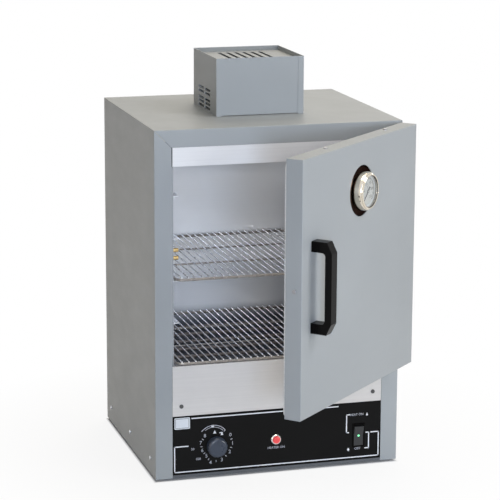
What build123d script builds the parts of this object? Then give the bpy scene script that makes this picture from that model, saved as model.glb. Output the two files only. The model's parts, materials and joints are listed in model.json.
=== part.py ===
from build123d import *
import math
import os

# A bench laboratory oven with forced air: a sheet-metal cabinet with an insulated chamber,
# a hinged door, a control panel below the door and a fan box on top.
# All lengths are millimetres. Pieces are drawn from the cabinet's front left bottom corner
# (x to the right, y to the back, z up), and write() moves them to the part's own frame, whose
# origin lies on the bench under the middle of the cabinet.

os.makedirs("parts", exist_ok=True)

# ---------------------------------------------------------------- driving dimensions
# cabinet
cabinet_width = 440.0
cabinet_depth = 386.0
cabinet_height = 610.0
sheet = 1.2                     # outer sheet steel
bend_radius = 1.0
stile_width = 30.0              # front flanges of the wrap
top_rail_height = 30.0
mitre_gap = 0.5
base_lip_height = 5.0
base_flange_height = 22.0
base_side_flange_height = 38.0
foot_radius = 11.0
foot_height = 4.0
foot_inset = 30.0
side_screw_front, side_screw_rear = 38.5, 36.0       # from the front and from the back
side_screw_level = 28.5
rear_screw_inset = 30.0
rear_screw_low, rear_screw_down = 10.0, 16.0         # above the base and below the top

# chamber
liner_sheet = 1.0
chamber_side_wall = 33.0        # outer side of the cabinet to the inner face of the chamber
chamber_rear_wall = 34.0
chamber_top_wall = 32.0
chamber_floor = 150.0
liner_flange = 12.0
fascia_sheet = 1.0
fascia_return = 7.0
lower_fascia_top = 200.0
upper_fascia_height = 32.5
upper_fascia_gap = 1.8          # at each end of the upper fascia
fascia_gap = 0.5
panel_top = 110.5
panel_thickness = 1.0
shield_gap = 1.3                # compartment shield above the top of the control panel
shield_sheet = 1.2

# shelves and their side racks
shelf_wire_radius = 1.15
shelf_frame_radius = 2.4
shelf_bar_radius = 1.6
shelf_wire_pitch = 12.3
shelf_corner_radius = 11.0
shelf_side_gap = 5.0            # chamber wall to the frame of a shelf
shelf_front_gap = 2.2           # cabinet front to the front of a shelf
shelf_rear_gap = 4.5
shelf_fascia_gap = 0.5          # lower fascia to the underside of the lower shelf
shelf_spacing = 147.6           # one shelf to the next
rack_sheet = 1.0
rack_ledge_width = 12.0
rack_front = 12.0
rack_rear_gap = 14.0
rack_margin = 14.0
shelf_rest_gap = 0.3

# heating element
element_radius = 3.2
element_above_floor = 28.0
element_runs = 7                # an odd number, so that the last run ends on the right
element_side_gap = 26.0
element_front = 35.0
element_rear_gap = 17.0
insulator_radius = 7.0
insulator_length = 3.0          # above the chamber floor

# sensing bulb
bulb_radius = 3.0
bulb_length = 118.0
bulb_front = 56.0
bulb_above_shelf = 33.5
bulb_wall_gap = 2.5
stud_radius = 3.5
stud_length = 23.0
stud_spacing = 14.0
clip_width = 8.0
capillary_radius = 1.0
capillary_bend = 9.0
capillary_level = 60.0

# fan box on top
fan_box_width = 158.0
fan_box_depth = 154.0
fan_box_height = 101.0
fan_box_shift_left, fan_box_shift_back = 1.0, 2.0   # from the middle of the cabinet
fan_box_sheet = 1.0
fan_box_flange = 10.0
fan_box_lip = 0.6
fan_grille_recess = 8.0
fan_slot_width = 6.5
fan_slot_length = 118.0
fan_slot_pitch = 15.0
fan_slot_count = 6
side_slot_length = 35.0
side_slot_height = 4.3
side_slot_columns = (58.4, 102.0)               # middles, from the front of the fan box
side_slot_rows = (6.2, 13.7, 20.3, 31.3, 38.6)  # middles, above the cabinet top

# motor and blower
shaft_radius = 4.0
shaft_bore_clearance = 0.05
shaft_hole_radius = 9.0
motor_radius = 36.0
motor_height = 46.0
motor_stand = 28.0
bracket_sheet = 2.0
bracket_width = 60.0
blower_radius = 54.0
blower_blade_height = 17.0
blower_blade_count = 16
blower_blade_depth = 15.0
blower_plate = 1.2
blower_hub_radius = 10.0
blower_ceiling_gap = 3.0
cooling_fan_radius = 30.0
cooling_blade_count = 5
baffle_sheet = 1.0
baffle_rear_gap = 26.0
baffle_slot_count = 7

# control panel fittings
knob_x, knob_z = 108.2, 52.1    # from the cabinet's left side and base
knob_radius = 17.5
knob_height = 14.0
knob_panel_gap = 0.8
knob_flute_count = 18
spindle_radius = 3.0
bushing_radius = 5.0
thermostat_width, thermostat_depth, thermostat_height = 42.0, 42.0, 40.0
pilot_shift_left, pilot_z = 3.5, 55.0               # from the middle of the cabinet
pilot_bezel_radius = 9.2
pilot_lens_radius = 7.0
pilot_lens_height = 6.5
switch_inset, switch_z = 71.5, 50.2                 # from the cabinet's right side
switch_width, switch_height = 22.5, 43.5
switch_bezel = 1.8
rocker_width, rocker_height = 16.8, 36.0
rocker_tilt = 7.0
rocker_lens_radius = 2.0
gland_inset, gland_z = 60.0, 45.0                   # from the cabinet's right side
gland_radius = 9.0
gland_bore_radius = 4.0
gland_length = 22.0

# door, sizes taken with the door shut
door_thickness = 29.0
door_free_inset = 26.5          # left side of the cabinet to the free edge of the door
door_top_gap = 2.6              # below the top of the cabinet
door_overlap = 14.6             # below the top of the lower fascia
door_front_gap = 3.0            # cabinet front to the inner face of the door
door_hinge_inset = 4.0          # right side of the cabinet to the hinged edge of the door
door_open_angle = 44.1          # as it stands
inner_pan_sheet = 1.0
inner_pan_return = 15.0
plug_height = 2.4
plug_margin = 12.0
gasket_width = 9.0
gasket_gap = 0.3
gasket_free_inset = 1.0
gasket_hinge_inset = 21.0
gasket_top_inset = 7.0
gasket_bottom_inset = 2.6
magnet_length, magnet_height, magnet_depth = 40.0, 9.0, 5.0
magnet_inset = 60.0             # from either edge of the door
magnet_clearance = 0.5
door_screw_hinge_inset, door_screw_free_inset = 81.5, 113.0
door_screw_depth = 9.0          # behind the inner face of the door
edge_screw_depth = 16.0

# hinges
hinge_pin_offset = 0.8          # outside the cabinet's right side
hinge_pin_forward = 6.8         # in front of the cabinet
hinge_barrel_radius = 3.4
hinge_pin_radius = 1.6
hinge_pin_clearance = 0.05
hinge_length = 50.0
hinge_knuckle_gap = 0.3
hinge_leaf = 1.2
hinge_leaf_width = 22.0
hinge_door_leaf_inset = 3.0     # outer face of the door to the edge of its leaf
hinge_neck = 1.2
hinge_end_distance = 62.0       # end of the door to the middle of a hinge

# door handle
handle_length = 150.5
handle_width = 20.5
handle_projection = 36.2
handle_grip = 11.3
handle_leg = 17.3
handle_chamfer_out, handle_chamfer_along = 8.9, 18.0
handle_inner_radius = 6.0
handle_free_inset = 30.5        # free edge of the door to the handle
handle_rise = 2.1               # middle of the handle above the middle of the door
handle_screw_length = 16.0

# thermometer in the door
cup_radius = 42.5
cup_depth = 24.0
cup_batt_gap = 0.5
cup_sheet = 0.8
cup_flange = 4.5
case_radius = 29.6
case_sheet = 1.25
case_front = 16.5               # in front of the door
case_length = 30.0
boss_radius = 11.0
case_lip = 3.0
thermometer_drop = 81.8         # below the top of the door
dial_space = 2.6                # glass to pointer
pointer_gap = 0.5
dial_sheet = 0.8
glass_thickness = 1.6
pointer_length, pointer_tail, pointer_width, pointer_sheet = 24.0, 9.0, 1.8, 0.6
pointer_hub_radius = 3.0
pointer_pin_radius = 1.2
pointer_rest_angle = 225.0      # seen from the front, anticlockwise from the right
stem_radius = 3.2
stem_reach = 72.0               # beyond the inner face of the door
nut_radius = 9.0

# fasteners
screw_head_radius = 3.6
screw_head_height = 2.0
screw_shank_radius = 1.9
screw_hole_clearance = 0.2
screw_length = 6.0
fascia_screw_inset_x, fascia_screw_inset_z = 16.0, 17.5

# ---------------------------------------------------------------- places worked out from them
right = cabinet_width
rear = cabinet_depth
top = cabinet_height
chamber_ceiling = top - chamber_top_wall
upper_fascia_bottom = top - top_rail_height - upper_fascia_height
liner_left = chamber_side_wall - liner_sheet
liner_right = right - liner_left
chamber_left = chamber_side_wall
chamber_right = right - chamber_side_wall
chamber_rear = rear - chamber_rear_wall
shield_bottom = panel_top + shield_gap
shield_top = shield_bottom + shield_sheet
batt_front = sheet + liner_sheet
rear_panel_front = rear - sheet
fan_x = right / 2 - fan_box_shift_left
fan_y = rear / 2 + fan_box_shift_back
fan_box_left = fan_x - fan_box_width / 2
fan_box_front = fan_y - fan_box_depth / 2
pilot_x = right / 2 - pilot_shift_left
switch_x = right - switch_inset
gland_x = right - gland_inset
lower_shelf_height = lower_fascia_top + shelf_fascia_gap + shelf_frame_radius
upper_shelf_height = lower_shelf_height + shelf_spacing
bulb_height = upper_shelf_height + bulb_above_shelf
stud_upper = bulb_height + stud_spacing / 2
stud_lower = bulb_height - stud_spacing / 2
bulb_x = chamber_left + bulb_wall_gap + bulb_radius
bulb_rear = bulb_front + bulb_length
stud_y = bulb_front + clip_width / 2
shelf_left = chamber_left + shelf_side_gap
shelf_right = chamber_right - shelf_side_gap
shelf_front = shelf_front_gap
shelf_rear = chamber_rear - shelf_rear_gap
rack_rear = chamber_rear - rack_rear_gap
capillary_x = shelf_left - 2 * capillary_radius
capillary_y = chamber_rear - 3 * capillary_radius
element_left = chamber_left + element_side_gap
element_right = chamber_right - element_side_gap
element_rear = chamber_rear - element_rear_gap
element_run_pitch = (element_rear - element_front) / (element_runs - 1)
element_height = chamber_floor + element_above_floor
door_hinge_edge = right - door_hinge_inset
door_free_edge = door_free_inset
door_top = top - door_top_gap
door_bottom = lower_fascia_top - door_overlap
door_middle = (door_bottom + door_top) / 2
door_inner = -door_front_gap
door_outer = door_inner - door_thickness
hinge_x = right + hinge_pin_offset
hinge_y = -hinge_pin_forward
hinge_levels = (door_bottom + hinge_end_distance, door_top - hinge_end_distance)
thermometer_x = (door_hinge_edge + door_free_edge) / 2
thermometer_height = door_top - thermometer_drop
handle_left = door_free_edge + handle_free_inset
handle_bottom = door_middle + handle_rise - handle_length / 2
handle_top = handle_bottom + handle_length


# ---------------------------------------------------------------- helpers
def block(x0, x1, y0, y1, z0, z1):
    """A box between two opposite corners."""
    size = Box(x1 - x0, y1 - y0, z1 - z0)
    return Pos((x0 + x1) / 2, (y0 + y1) / 2, (z0 + z1) / 2) * size


def rod(radius, start, end):
    """A cylinder from one point to another."""
    a, b = Vector(*start), Vector(*end)
    plane = Plane(origin=a, z_dir=b - a)
    return plane * Pos(0, 0, (b - a).length / 2) * Cylinder(radius, (b - a).length)


def tube(outer, inner, start, end):
    return rod(outer, start, end) - rod(inner, start, end)


def turned(profile_points, origin, direction):
    """A solid of revolution: the points are (distance from the axis, distance along it)."""
    outline = make_face(Polyline(*[(r, 0, h) for r, h in profile_points], close=True))
    solid = revolve(outline, Axis.Z)
    return Plane(origin=origin, z_dir=direction) * solid


def screw(head_seat, direction, length=screw_length):
    """A pan-head screw: its head lies on head_seat and the shank runs along direction."""
    seat, way = Vector(*head_seat), Vector(*direction).normalized()
    head = rod(screw_head_radius, seat - way * screw_head_height, seat)
    rim = head.edges().filter_by(GeomType.CIRCLE)
    outer_rim = max(rim, key=lambda e: (seat - e.arc_center).length)
    head = fillet(outer_rim, screw_head_height * 0.45)
    return head + rod(screw_shank_radius, seat, seat + way * length)


def screw_holes(seats, direction, depth=screw_length):
    """What the shanks of the screws at seats cut away."""
    way = Vector(*direction).normalized()
    radius = screw_shank_radius + screw_hole_clearance
    return [rod(radius, Vector(*s) - way, Vector(*s) + way * (depth + 1)) for s in seats]


def write(name, shape, angle=0.0):
    """Turn a piece of the door to where the door stands, move it to the part's frame, save it."""
    placed = shape.rotate(Axis((hinge_x, hinge_y, 0), (0, 0, 1)), angle) if angle else shape
    placed = Pos(-cabinet_width / 2, -cabinet_depth / 2, foot_height) * placed
    export_step(placed, f"parts/{name}.step")


def cut_all(shape, cutters):
    for cutter in cutters:
        shape = shape - cutter
    return shape


# ---------------------------------------------------------------- cabinet shell
side_screw_places = (side_screw_front, rear / 2, rear - side_screw_rear)
left_screw_seats = [(0, y, side_screw_level) for y in side_screw_places]
right_screw_seats = [(right, y, side_screw_level) for y in side_screw_places]
rear_screw_x = (rear_screw_inset, right / 2, right - rear_screw_inset)
rear_screw_z = (rear_screw_low, top - rear_screw_down)
rear_screw_seats = [(x, rear, z) for x in rear_screw_x for z in rear_screw_z]


def make_cabinet_wrap():
    """One sheet bent over the sides and the top, with flanges turned in at the front."""
    outside = block(0, right, 0, rear, 0, top)
    long_edges = outside.edges().filter_by(Axis.Y).group_by(Axis.Z)[-1]
    front_edges = outside.edges().filter_by(Axis.Z).group_by(Axis.Y)[0]
    top_front = outside.edges().filter_by(Axis.X).group_by(Axis.Y)[0].sort_by(Axis.Z)[-1]
    wrap = fillet(long_edges + front_edges + ShapeList([top_front]), bend_radius)
    wrap -= block(sheet, right - sheet, sheet, rear + 1, -1, top - sheet)
    wrap -= block(stile_width, right - stile_width, -1, sheet + 1, -1, top - top_rail_height)
    reach = math.hypot(stile_width, top_rail_height)
    for x, turn in ((0, -1), (right, 1)):
        slit = Box(mitre_gap, sheet * 2, reach)
        slit = Pos(0, 0, -reach / 2 - sheet * 1.5) * slit
        angle = turn * math.degrees(math.atan2(stile_width, top_rail_height))
        wrap -= Pos(x, 0, top) * Rot(0, angle, 0) * slit
    wrap -= rod(shaft_hole_radius, (fan_x, fan_y, top - 3), (fan_x, fan_y, top + 1))
    wrap = cut_all(wrap, screw_holes(left_screw_seats, (1, 0, 0)))
    return cut_all(wrap, screw_holes(right_screw_seats, (-1, 0, 0)))


def make_base_pan():
    pan = block(sheet, right - sheet, sheet, rear_panel_front, 0, sheet)
    pan += block(sheet, 2 * sheet, sheet, rear_panel_front, 0, base_side_flange_height)
    pan += block(right - 2 * sheet, right - sheet, sheet, rear_panel_front,
                 0, base_side_flange_height)
    rear_flange = rear_panel_front - sheet
    pan += block(sheet, right - sheet, rear_flange, rear_panel_front, 0, base_flange_height)
    pan += block(stile_width, right - stile_width, 0, sheet, 0, base_lip_height)
    pan = cut_all(pan, screw_holes(left_screw_seats, (1, 0, 0)))
    pan = cut_all(pan, screw_holes(right_screw_seats, (-1, 0, 0)))
    return cut_all(pan, screw_holes(rear_screw_seats, (0, -1, 0)))


def make_rear_panel():
    panel = block(sheet, right - sheet, rear_panel_front, rear, 0, top - sheet)
    panel -= rod(gland_radius, (gland_x, rear - 5, gland_z), (gland_x, rear + 5, gland_z))
    return cut_all(panel, screw_holes(rear_screw_seats, (0, -1, 0)))


def make_feet():
    feet = []
    for x in (foot_inset, right - foot_inset):
        for y in (foot_inset, rear - foot_inset):
            foot = rod(foot_radius, (x, y, -foot_height), (x, y, 0))
            lower_rim = foot.edges().group_by(Axis.Z)[0]
            feet.append(chamfer(lower_rim, foot_height * 0.25))
    return Compound(feet)


def make_cabinet_screws():
    screws = [screw(s, (1, 0, 0)) for s in left_screw_seats]
    screws += [screw(s, (-1, 0, 0)) for s in right_screw_seats]
    screws += [screw(s, (0, -1, 0)) for s in rear_screw_seats]
    screws += [screw(s, (0, 1, 0)) for s in fascia_screw_seats]
    return Compound(screws)


# ---------------------------------------------------------------- chamber
fascia_front = sheet - fascia_sheet
fascia_screw_z = panel_top + fascia_gap + fascia_screw_inset_z
fascia_screw_seats = [
    (x, fascia_front, fascia_screw_z)
    for x in (stile_width + fascia_screw_inset_x, right - stile_width - fascia_screw_inset_x)
]


def make_chamber_liner():
    flange_left, flange_right = liner_left - liner_flange, liner_right + liner_flange
    flange_bottom = chamber_floor - liner_sheet - liner_flange
    flange_top = chamber_ceiling + liner_sheet + liner_flange
    liner = block(
        liner_left, liner_right, sheet, chamber_rear + liner_sheet,
        chamber_floor - liner_sheet, chamber_ceiling + liner_sheet,
    )
    liner += block(flange_left, flange_right, sheet, batt_front, flange_bottom, flange_top)
    liner -= block(chamber_left, chamber_right, 0, chamber_rear, chamber_floor, chamber_ceiling)
    liner -= rod(shaft_hole_radius, (fan_x, fan_y, chamber_ceiling - 1),
                 (fan_x, fan_y, chamber_ceiling + 3))
    return cut_all(liner, floor_passages())


def floor_passages():
    """Holes through the chamber floor and the insulation under it."""
    low, high = shield_bottom - 1, chamber_floor + 1
    holes = [rod(2 * capillary_radius, (capillary_x, capillary_y, low),
                 (capillary_x, capillary_y, high))]
    for x in element_terminals():
        y = element_rear
        holes.append(rod(insulator_radius, (x, y, low), (x, y, high)))
    return holes


def make_batts():
    batt_bottom = shield_top
    batt_top = top - sheet
    floor_underside = chamber_floor - liner_sheet
    ceiling_top = chamber_ceiling + liner_sheet
    liner_back = chamber_rear + liner_sheet
    left = block(sheet, liner_left, batt_front, rear_panel_front, batt_bottom, batt_top)
    right_batt = block(liner_right, right - sheet, batt_front, rear_panel_front,
                       batt_bottom, batt_top)
    over = block(liner_left, liner_right, batt_front, rear_panel_front, ceiling_top, batt_top)
    over -= rod(shaft_hole_radius, (fan_x, fan_y, ceiling_top - 1), (fan_x, fan_y, batt_top + 1))
    behind = block(liner_left, liner_right, liner_back, rear_panel_front, batt_bottom, ceiling_top)
    under = block(liner_left, liner_right, batt_front, liner_back, batt_bottom, floor_underside)
    under = cut_all(under, floor_passages() + screw_holes(fascia_screw_seats, (0, 1, 0)))
    deep = screw_holes(rear_screw_seats, (0, -1, 0))
    over, behind = cut_all(over, deep), cut_all(behind, deep)
    left, right_batt = cut_all(left, deep), cut_all(right_batt, deep)
    return {
        "insulation_left": left,
        "insulation_right": right_batt,
        "insulation_top": over,
        "insulation_rear": behind,
        "insulation_floor": under,
    }


def make_compartment_shield():
    shield = block(sheet, right - sheet, sheet, rear_panel_front, shield_bottom, shield_top)
    return cut_all(shield, floor_passages())


def make_upper_fascia():
    left = stile_width + upper_fascia_gap
    fascia = block(left, right - left, fascia_front, sheet,
                   upper_fascia_bottom, top - top_rail_height - fascia_gap / 2)
    return fascia + block(chamber_left + fascia_gap, chamber_right - fascia_gap, fascia_front,
                          sheet + fascia_return, upper_fascia_bottom,
                          upper_fascia_bottom + fascia_sheet)


def make_lower_fascia():
    left = stile_width + fascia_gap
    fascia = block(left, right - left, fascia_front, sheet,
                   panel_top + fascia_gap, lower_fascia_top)
    fascia += block(chamber_left + fascia_gap, chamber_right - fascia_gap, fascia_front,
                    sheet + fascia_return, lower_fascia_top - fascia_sheet, lower_fascia_top)
    return cut_all(fascia, screw_holes(fascia_screw_seats, (0, 1, 0)))


def make_ceiling_baffle():
    """The false ceiling under the blower, with intake slots, resting on the fascia's return."""
    low = upper_fascia_bottom + fascia_sheet
    baffle_rear = chamber_rear - baffle_rear_gap
    front = sheet + fascia_gap
    baffle = block(chamber_left, chamber_right, front, baffle_rear, low, low + baffle_sheet)
    for x0, x1 in ((chamber_left, chamber_left + baffle_sheet),
                   (chamber_right - baffle_sheet, chamber_right)):
        baffle += block(x0, x1, front, baffle_rear, low, low + 10 * baffle_sheet)
    slot = 2 * blower_radius / (2 * baffle_slot_count + 1)
    for i in range(baffle_slot_count):
        x = fan_x - blower_radius + slot * (2 * i + 1)
        half = 0.7 * math.sqrt(blower_radius**2 - (x + slot / 2 - fan_x) ** 2)
        baffle -= block(x, x + slot, fan_y - half, fan_y + half, low - 1, low + baffle_sheet + 1)
    return baffle


# ---------------------------------------------------------------- shelves and racks
rack_step = shelf_spacing / 2
rack_reach = upper_fascia_bottom - rack_margin - lower_shelf_height
rack_levels = [lower_shelf_height + rack_step * i for i in range(int(rack_reach / rack_step) + 1)]


def make_rack(mirror):
    wall = chamber_left
    low = rack_levels[0] - rack_margin
    high = rack_levels[-1] + rack_margin
    rack = block(wall, wall + rack_sheet, rack_front, rack_rear, low, high)
    for level in rack_levels:
        seat = level - shelf_frame_radius - shelf_rest_gap
        rack += block(wall, wall + rack_ledge_width, rack_front, rack_rear,
                      seat - rack_sheet, seat)
    if mirror:
        middle = Plane(origin=(right / 2, 0, 0), z_dir=(1, 0, 0))
        return rack.mirror(middle)
    for z in (stud_upper, stud_lower):
        rack -= rod(stud_radius + screw_hole_clearance, (wall - 1, stud_y, z),
                    (wall + 3 * rack_sheet, stud_y, z))
    return rack


def make_shelf(level):
    """A frame of thick wire under a row of thin ones that run from front to back."""
    r = shelf_frame_radius
    width = shelf_right - shelf_left - 2 * r
    depth = shelf_rear - shelf_front - 2 * r
    middle = Pos((shelf_left + shelf_right) / 2, (shelf_front + shelf_rear) / 2, level)
    path = RectangleRounded(width, depth, shelf_corner_radius).wire()
    start = Plane(origin=path @ 0, z_dir=path % 0)
    frame = middle * sweep(start * Circle(r), path=path)
    wires = []
    count = int((width - shelf_wire_pitch) // shelf_wire_pitch) + 1
    first = (shelf_left + shelf_right) / 2 - shelf_wire_pitch * (count - 1) / 2
    wire_level = level + r + shelf_wire_radius
    for i in range(count):
        x = first + shelf_wire_pitch * i
        wires.append(rod(shelf_wire_radius, (x, shelf_front, wire_level),
                         (x, shelf_rear, wire_level)))
    crossbars = []
    bar_level = level + r - shelf_bar_radius
    for share in (1 / 3, 2 / 3):
        y = shelf_front + (shelf_rear - shelf_front) * share
        crossbars.append(rod(shelf_bar_radius, (shelf_left + 2 * r, y, bar_level),
                             (shelf_right - 2 * r, y, bar_level)))
    return Compound([frame] + wires + crossbars)


# ---------------------------------------------------------------- heating element and bulb
def element_terminals():
    """Both ends come down through the floor at the back, left and right."""
    return (element_left, element_right)


def make_heating_element():
    """One sheathed rod that runs left and right across the floor, with both ends turned down."""
    r = element_radius
    bend = element_run_pitch / 2 - 0.5
    rear_y = element_rear
    down = shield_bottom - 12
    points = [(element_left, rear_y, down), (element_left, rear_y, element_height)]
    inner = element_right - element_run_pitch
    x, y = inner, rear_y
    for i in range(element_runs - 1):
        points.append((x, y, element_height))
        y -= element_run_pitch
        points.append((x, y, element_height))
        x = element_left if x == inner else inner
    points.append((element_right, y, element_height))
    points.append((element_right, rear_y, element_height))
    points.append((element_right, rear_y, down))
    return sweep_round(points, bend, r)


def sweep_round(points, bend, radius):
    """A round bar along straight runs, with each corner bent to a radius that its runs allow."""
    corners = []
    vectors = [Vector(*p) for p in points]
    for before, here, after in zip(vectors, vectors[1:], vectors[2:]):
        shorter = min((here - before).length, (after - here).length)
        corners.append(min(bend, shorter * 0.49))
    path = FilletPolyline(*points, radius=corners)
    start = Plane(origin=path @ 0, z_dir=path % 0)
    return sweep(start * Circle(radius), path=path)


def make_element_insulators():
    """Ceramic bushes round both ends of the element, in the floor."""
    bushes = []
    for x in element_terminals():
        y = element_rear
        bush = tube(insulator_radius - 0.3, element_radius + 0.1,
                    (x, y, shield_bottom - 3), (x, y, chamber_floor + insulator_length))
        bushes.append(bush)
    return Compound(bushes)


def make_bulb_studs():
    studs = []
    for z in (stud_upper, stud_lower):
        stud = rod(stud_radius, (chamber_left, stud_y, z), (chamber_left + stud_length, stud_y, z))
        studs.append(stud)
    return Compound(studs)


def make_bulb_clip():
    clip = block(bulb_x - bulb_radius - 0.8, bulb_x + bulb_radius + 0.8, bulb_front,
                 bulb_front + clip_width, stud_lower - stud_radius - 2, stud_upper + stud_radius + 2)
    clip -= rod(bulb_radius, (bulb_x, bulb_front - 1, bulb_height), (bulb_x, bulb_rear, bulb_height))
    for z in (stud_upper, stud_lower):
        clip -= rod(stud_radius, (chamber_left, stud_y, z), (chamber_left + stud_length, stud_y, z))
    return clip


def make_sensing_bulb():
    bulb = rod(bulb_radius, (bulb_x, bulb_front, bulb_height), (bulb_x, bulb_rear, bulb_height))
    return fillet(bulb.edges().group_by(Axis.Y)[0], bulb_radius * 0.6)


def make_capillary():
    points = [
        (capillary_x, bulb_rear, bulb_height),
        (capillary_x, capillary_y, bulb_height),
        (capillary_x, capillary_y, capillary_level),
        (knob_x, capillary_y, capillary_level),
        (knob_x, thermostat_rear, capillary_level),
    ]
    return sweep_round(points, capillary_bend, capillary_radius)


# ---------------------------------------------------------------- fan box and blower
box_left, box_right = fan_box_left, fan_box_left + fan_box_width
box_front, box_rear = fan_box_front, fan_box_front + fan_box_depth
box_top = top + fan_box_height
grille_top = box_top - fan_grille_recess


def make_fan_housing():
    """Four walls with the side walls' flanges lapped over the front, and slots in both sides."""
    s = fan_box_sheet
    walls = block(box_left, box_right, box_front, box_rear, top, box_top)
    walls -= block(box_left + s, box_right - s, box_front + s, box_rear - s, top - 1, box_top + 1)
    walls -= block(box_left + fan_box_flange, box_right - fan_box_flange, box_front - 1,
                   box_front + s, top - 1, top + 2 * fan_box_lip)
    for x0 in (box_left, box_right - fan_box_flange):
        walls += block(x0, x0 + fan_box_flange, box_front - fan_box_lip, box_front, top, box_top)
    for column in side_slot_columns:
        y = box_front + column
        for row in side_slot_rows:
            z = top + row
            walls -= block(box_left - 1, box_right + 1, y - side_slot_length / 2,
                           y + side_slot_length / 2, z - side_slot_height / 2,
                           z + side_slot_height / 2)
    return walls


def make_fan_grille():
    s = fan_box_sheet
    grille = block(box_left + s, box_right - s, box_front + s, box_rear - s,
                   grille_top - s, grille_top)
    for i in range(fan_slot_count):
        x = fan_x + fan_slot_pitch * (i - (fan_slot_count - 1) / 2)
        grille -= block(x - fan_slot_width / 2, x + fan_slot_width / 2,
                        fan_y - fan_slot_length / 2, fan_y + fan_slot_length / 2,
                        grille_top - s - 1, grille_top + 1)
    return grille


motor_bottom = top + motor_stand
motor_top = motor_bottom + motor_height


def make_motor_bracket():
    b = bracket_sheet
    half = motor_radius + 6
    low, high = top, motor_bottom
    bracket = block(fan_x - half, fan_x + half, fan_y - bracket_width / 2,
                    fan_y + bracket_width / 2, high - b, high)
    for side in (-1, 1):
        inner, outer = fan_x + side * (half - b), fan_x + side * half
        bracket += block(min(inner, outer), max(inner, outer), fan_y - bracket_width / 2,
                         fan_y + bracket_width / 2, low, high)
        toe = fan_x + side * (half + 12)
        bracket += block(min(outer, toe), max(outer, toe), fan_y - bracket_width / 2,
                         fan_y + bracket_width / 2, low, low + b)
    return bracket - rod(shaft_hole_radius, (fan_x, fan_y, high - 5), (fan_x, fan_y, high + 1))


def make_motor():
    body = rod(motor_radius, (fan_x, fan_y, motor_bottom), (fan_x, fan_y, motor_top))
    body = fillet(body.edges().filter_by(GeomType.CIRCLE), 4)
    bore = shaft_radius + shaft_bore_clearance
    return body - rod(bore, (fan_x, fan_y, motor_bottom - 1), (fan_x, fan_y, motor_top + 1))


wheel_top = chamber_ceiling - blower_ceiling_gap
wheel_bottom = wheel_top - blower_blade_height
cooling_fan_bottom = motor_top + 3
cooling_hub_height = 9


def make_shaft():
    return rod(shaft_radius, (fan_x, fan_y, wheel_bottom),
               (fan_x, fan_y, cooling_fan_bottom + cooling_hub_height))


def make_blower_wheel():
    """A back plate with a hub, a ring of curved blades and a thin shroud ring under them."""
    wheel = rod(blower_radius, (fan_x, fan_y, wheel_top - blower_plate), (fan_x, fan_y, wheel_top))
    wheel += rod(blower_hub_radius, (fan_x, fan_y, wheel_bottom), (fan_x, fan_y, wheel_top))
    inner = blower_radius - blower_blade_depth
    sweep_back = math.radians(360 / blower_blade_count)
    middle_radius = (inner + blower_radius) / 2 - blower_plate
    for i in range(blower_blade_count):
        turn = 2 * math.pi / blower_blade_count * i
        ends = []
        for radius, share in ((inner, 0.0), (middle_radius, 0.35), (blower_radius - 0.2, 1.0)):
            angle = turn + sweep_back * share
            ends.append((radius * math.cos(angle), radius * math.sin(angle)))
        curve = ThreePointArc(*ends)
        blade = extrude(make_face(offset(curve, blower_plate / 2, side=Side.BOTH)),
                        amount=blower_blade_height)
        wheel += Pos(fan_x, fan_y, wheel_bottom) * blade
    wheel += tube(blower_radius, inner, (fan_x, fan_y, wheel_bottom - blower_plate),
                  (fan_x, fan_y, wheel_bottom))
    return wheel - rod(shaft_radius, (fan_x, fan_y, wheel_bottom - 1), (fan_x, fan_y, top))


def make_cooling_fan():
    low, high = cooling_fan_bottom, cooling_fan_bottom + cooling_hub_height
    hub_radius = 2.5 * shaft_radius
    fan = rod(hub_radius, (fan_x, fan_y, low), (fan_x, fan_y, high))
    length = cooling_fan_radius - hub_radius + 2
    for i in range(cooling_blade_count):
        blade = Rot(28, 0, 0) * Box(length, 14, 1.2)
        blade = Pos(hub_radius - 2 + length / 2, 0, 0) * blade
        blade = Rot(0, 0, 360 / cooling_blade_count * i) * blade
        fan += Pos(fan_x, fan_y, (low + high) / 2) * blade
    return fan - rod(shaft_radius, (fan_x, fan_y, low - 1), (fan_x, fan_y, high + 1))


# ---------------------------------------------------------------- control panel and fittings
panel_front = sheet - panel_thickness
bushing_front = panel_front - 4.0
thermostat_front = sheet + 2.0
thermostat_rear = thermostat_front + thermostat_depth


def make_control_panel():
    gap = fascia_gap / 2
    panel = block(stile_width + gap, right - stile_width - gap, panel_front, sheet,
                  base_lip_height + gap, panel_top)
    panel -= rod(bushing_radius + screw_hole_clearance, (knob_x, -1, knob_z), (knob_x, 5, knob_z))
    panel -= rod(pilot_lens_radius + 1.2, (pilot_x, -1, pilot_z), (pilot_x, 5, pilot_z))
    half_w, half_h = switch_body_half()
    return panel - block(switch_x - half_w - 0.2, switch_x + half_w + 0.2, -1, 5,
                         switch_z - half_h - 0.2, switch_z + half_h + 0.2)


def make_thermostat():
    x0 = knob_x - thermostat_width / 2
    z0 = knob_z - thermostat_height / 2
    body = block(x0, x0 + thermostat_width, thermostat_front, thermostat_rear,
                 z0, z0 + thermostat_height)
    body = fillet(body.edges().filter_by(Axis.Y), 3)
    body += rod(bushing_radius, (knob_x, bushing_front, knob_z), (knob_x, thermostat_front, knob_z))
    collar = thermostat_front - sheet
    body += rod(bushing_radius * 1.6, (knob_x, sheet, knob_z), (knob_x, sheet + collar, knob_z))
    bore = spindle_radius + shaft_bore_clearance
    return body - rod(bore, (knob_x, bushing_front - 1, knob_z), (knob_x, spindle_rear + 0.5, knob_z))


spindle_rear = thermostat_front + 20.0
knob_rear = panel_front - knob_panel_gap
knob_front = knob_rear - knob_height


def make_spindle():
    return rod(spindle_radius, (knob_x, knob_front + 4, knob_z), (knob_x, spindle_rear, knob_z))


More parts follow.
